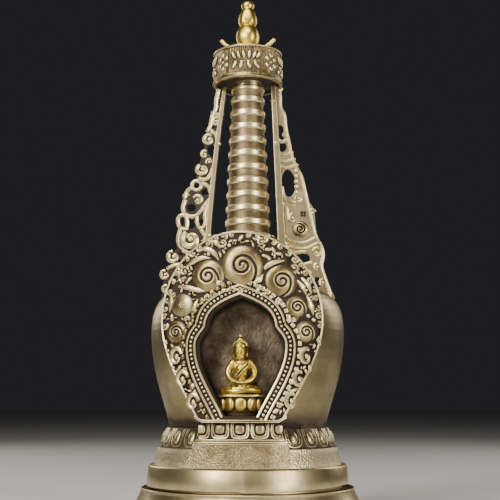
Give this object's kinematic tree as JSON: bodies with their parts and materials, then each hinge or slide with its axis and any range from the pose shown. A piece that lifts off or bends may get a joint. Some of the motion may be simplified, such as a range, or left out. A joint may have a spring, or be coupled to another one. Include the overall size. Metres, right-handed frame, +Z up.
{
  "type": "tibetan bell",
  "caption": "Stupa-shaped metal hand bell with a niche and seated gilt figure, ringed spire grip, pierced wings, umbrella drum and finial, resting on a round stand; clapper inside.",
  "frame": {"origin": "on the table, under the middle of the stand", "axes": "+Z up along the spire; the niche faces -Y; +X to the right of someone who faces the niche"},
  "size_m": [0.0854, 0.0854, 0.2044],
  "materials": {
    "old_silver": "cast nickel silver, dark patina in the recesses",
    "polished_silver": "nickel silver, high places rubbed bright",
    "satin_silver": "nickel silver, satin, dull and warm",
    "niche_patina": "brown-black patina, mottled",
    "gilt": "gilded, rubbed, dark in the folds",
    "rod_steel": "dull iron",
    "felt": "dark red felt"
  },
  "bodies": {
    "stand": {"stand_band": "satin_silver", "stand_top_plate": "satin_silver", "stand_seat_ring": "satin_silver", "stand_floor_plate": "satin_silver", "felt_pad": "felt"},
    "bell": {"mouth_ring": "old_silver", "mouth_collar": "polished_silver", "grained_skirt": "old_silver", "lotus_ring": "old_silver", "front_plinth": "old_silver", "dome_shell": "satin_silver", "niche_pan": "niche_patina", "arch_plate": "old_silver", "arch_border": "polished_silver", "arch_scrolls": "polished_silver", "lotus_throne": "gilt", "seated_figure": "gilt", "throne_dowel": "rod_steel", "harmika": "old_silver", "spire_core": "old_silver", "spire_collar": "polished_silver", "umbrella_drum": "old_silver", "umbrella_top_plate": "old_silver", "left_wing": "old_silver", "right_wing": "old_silver", "left_wing_rail": "polished_silver", "right_wing_rail": "polished_silver", "wing_pins": "polished_silver", "moon_crescent": "gilt", "finial_jewel": "gilt", "tie_rod": "rod_steel", "rod_washer": "rod_steel", "rod_nut": "rod_steel", "hanging_eye": "rod_steel", "spire_ring_01": "polished_silver", "spire_ring_02": "polished_silver", "spire_ring_03": "polished_silver", "spire_ring_04": "polished_silver", "spire_ring_05": "polished_silver", "spire_ring_06": "polished_silver", "spire_ring_07": "polished_silver", "spire_ring_08": "polished_silver", "spire_ring_09": "polished_silver", "spire_ring_10": "polished_silver", "spire_ring_11": "polished_silver", "spire_ring_12": "polished_silver", "spire_ring_13": "polished_silver"},
    "link": {"clapper_link": "rod_steel"},
    "clapper": {"clapper_stem": "rod_steel", "clapper_ball": "rod_steel"}
  },
  "joints": [
    {"name": "bell_lift", "type": "slide", "parent": "stand", "child": "bell", "axis": [0, 0, 1], "range_m": [0, 0.06]},
    {"name": "link_swing", "type": "hinge", "parent": "bell", "child": "link", "pos_m": [0, 0, 0.0736], "axis": [1, 0, 0], "range_deg": [-19, 19]},
    {"name": "clapper_swing", "type": "hinge", "parent": "link", "child": "clapper", "pos_m": [0, 0, 0.06905], "axis": [0, 1, 0], "range_deg": [-22, 22]}
  ]
}
